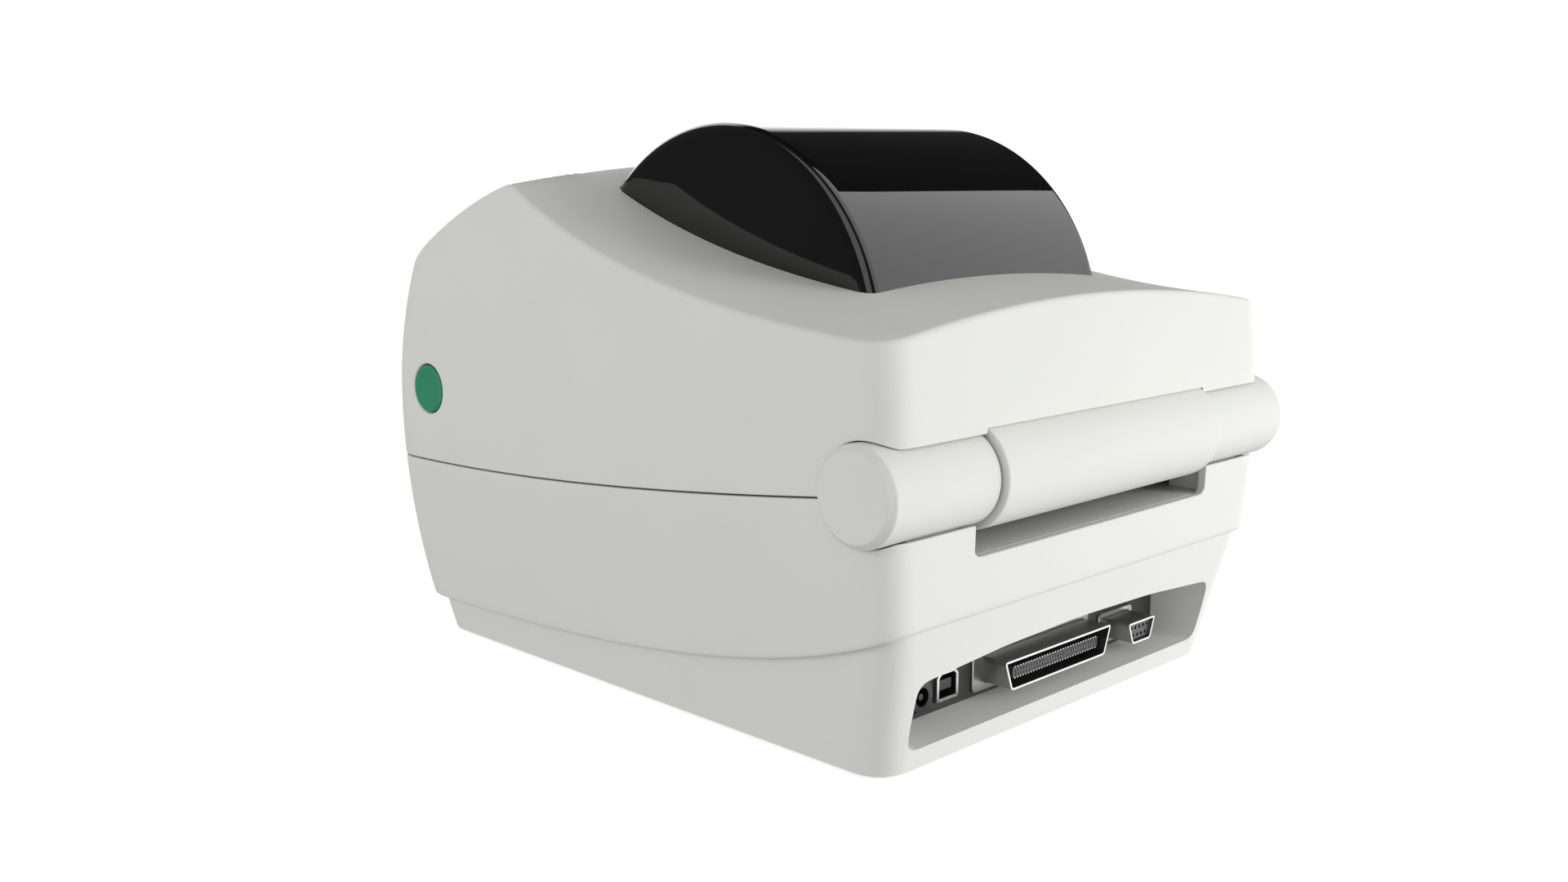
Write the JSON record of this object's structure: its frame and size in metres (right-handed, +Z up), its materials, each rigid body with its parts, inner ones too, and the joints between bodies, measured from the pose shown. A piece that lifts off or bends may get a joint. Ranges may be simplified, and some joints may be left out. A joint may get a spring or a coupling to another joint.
{
  "type": "thermal label printer",
  "caption": "Desktop direct thermal label printer with a clamshell cover, round roll window, paper drive, media guides and rear connectors.",
  "frame": {"origin": "centre of the footprint on the surface the rubber feet stand on", "axes": "+Z up, label exit on -Y, hinge and connectors on +Y, X across the labels"},
  "size_m": [0.1988, 0.239, 0.1766],
  "materials": {
    "case_plastic": "fine moulded texture",
    "window_plastic": "polished dark tint",
    "green_plastic": "satin",
    "chassis_plastic": "moulded",
    "panel_plastic": "fine texture",
    "black_plastic": "satin",
    "gear_plastic": "natural acetal",
    "rubber": "matte",
    "platen_rubber": "ground",
    "plated_steel": "bright nickel plate",
    "steel": "ground",
    "brass": "machined",
    "aluminium": "extruded",
    "ceramic": "glazed ceramic",
    "board": "solder mask",
    "cable": "vinyl",
    "lens": "diffused"
  },
  "bodies": {
    "base": {"lower_case": "case_plastic", "bottom_case": "case_plastic", "rubber_feet": "rubber", "case_screws": "steel", "media_tray": "case_plastic", "rack_cover": "chassis_plastic", "main_board": "board", "board_components": "black_plastic", "board_screws": "steel", "connector_panel": "panel_plastic", "switch_housing": "black_plastic", "power_jack": "black_plastic", "usb_socket": "plated_steel", "parallel_port_shell": "plated_steel", "parallel_port_insert": "black_plastic", "serial_port_shell": "plated_steel", "serial_port_insert": "black_plastic", "hinge_end_left": "case_plastic", "hinge_end_right": "case_plastic", "hinge_pins": "steel", "hinge_end_screws": "steel", "stepper_motor": "steel", "motor_bracket": "plated_steel", "motor_screws": "steel", "platen_bearings": "brass", "tear_bar": "steel", "gap_sensor": "black_plastic", "latch_strikes": "steel", "head_cable_lower": "cable"},
    "rocker": {"power_rocker": "black_plastic"},
    "platen": {"platen_shaft": "steel", "platen_roller": "platen_rubber", "platen_gear": "gear_plastic"},
    "idler": {"idler_gear": "gear_plastic"},
    "pinion": {"motor_pinion": "brass"},
    "guide_left": {"media_guide_left": "chassis_plastic"},
    "guide_right": {"media_guide_right": "chassis_plastic"},
    "guide_gear": {"guide_pinion": "gear_plastic"},
    "hub_left": {"roll_hub_left": "chassis_plastic"},
    "hub_right": {"roll_hub_right": "chassis_plastic"},
    "cover": {"top_cover": "case_plastic", "roll_window": "window_plastic", "hinge_sleeve": "case_plastic", "cover_frame": "chassis_plastic", "cover_screws": "steel", "status_light": "lens", "button_board": "board", "head_cable_upper": "cable", "head_guide_pins": "steel", "head_springs": "steel", "latch_spring_left": "steel", "latch_spring_right": "steel"},
    "feed_key": {"feed_button": "green_plastic"},
    "release_left": {"release_button_left": "green_plastic"},
    "release_right": {"release_button_right": "green_plastic"},
    "printhead": {"printhead_heatsink": "aluminium", "printhead_strip": "ceramic", "printhead_plug": "gear_plastic"}
  },
  "joints": [
    {"name": "cover_hinge", "type": "hinge", "parent": "base", "child": "cover", "pos_m": [0, 0.104, 0.0814], "axis": [-1, 0, 0], "range_deg": [0, 95]},
    {"name": "platen_spin", "type": "hinge", "parent": "base", "child": "platen", "pos_m": [0, -0.1, 0.058], "axis": [1, 0, 0], "continuous": true},
    {"name": "idler_spin", "type": "hinge", "parent": "base", "child": "idler", "pos_m": [-0.0705, -0.0847, 0.03748], "axis": [1, 0, 0], "continuous": true},
    {"name": "pinion_spin", "type": "hinge", "parent": "base", "child": "pinion", "pos_m": [-0.0705, -0.068, 0.028], "axis": [1, 0, 0], "continuous": true},
    {"name": "guide_left_slide", "type": "slide", "parent": "base", "child": "guide_left", "axis": [1, 0, 0], "range_m": [0, 0.044]},
    {"name": "guide_right_slide", "type": "slide", "parent": "base", "child": "guide_right", "axis": [1, 0, 0], "range_m": [-0.044, 0]},
    {"name": "guide_gear_spin", "type": "hinge", "parent": "base", "child": "guide_gear", "pos_m": [0, 0.0067, 0.034], "axis": [0, 0, 1], "range_deg": [-316, 0]},
    {"name": "hub_left_spin", "type": "hinge", "parent": "guide_left", "child": "hub_left", "pos_m": [-0.053, 0.0067, 0.106], "axis": [1, 0, 0], "continuous": true},
    {"name": "hub_right_spin", "type": "hinge", "parent": "guide_right", "child": "hub_right", "pos_m": [0.053, 0.0067, 0.106], "axis": [1, 0, 0], "continuous": true},
    {"name": "power_rocker_tilt", "type": "hinge", "parent": "base", "child": "rocker", "pos_m": [0.064, 0.086, 0.0165], "axis": [1, 0, 0], "range_deg": [0, 14]},
    {"name": "feed_button_press", "type": "slide", "parent": "cover", "child": "feed_key", "axis": [0, 0.5133, -0.8582], "range_m": [0, 0.0015], "stiffness_N_per_m": 300},
    {"name": "release_left_press", "type": "slide", "parent": "cover", "child": "release_left", "axis": [1, 0, 0], "range_m": [0, 0.003], "stiffness_N_per_m": 500, "deforming": ["latch_spring_left"]},
    {"name": "release_right_press", "type": "slide", "parent": "cover", "child": "release_right", "axis": [-1, 0, 0], "range_m": [0, 0.003], "stiffness_N_per_m": 500, "deforming": ["latch_spring_right"]},
    {"name": "printhead_float", "type": "slide", "parent": "cover", "child": "printhead", "axis": [0, 0, 1], "range_m": [0, 0.001], "stiffness_N_per_m": 4000, "deforming": ["head_springs"]}
  ],
  "couplings": [
    {"joint": "idler_spin", "follows": "platen_spin", "ratio": -0.77778},
    {"joint": "pinion_spin", "follows": "platen_spin", "ratio": 2.3333},
    {"joint": "guide_right_slide", "follows": "guide_left_slide", "ratio": -1},
    {"joint": "guide_gear_spin", "follows": "guide_left_slide", "rad_per_m": -125}
  ]
}
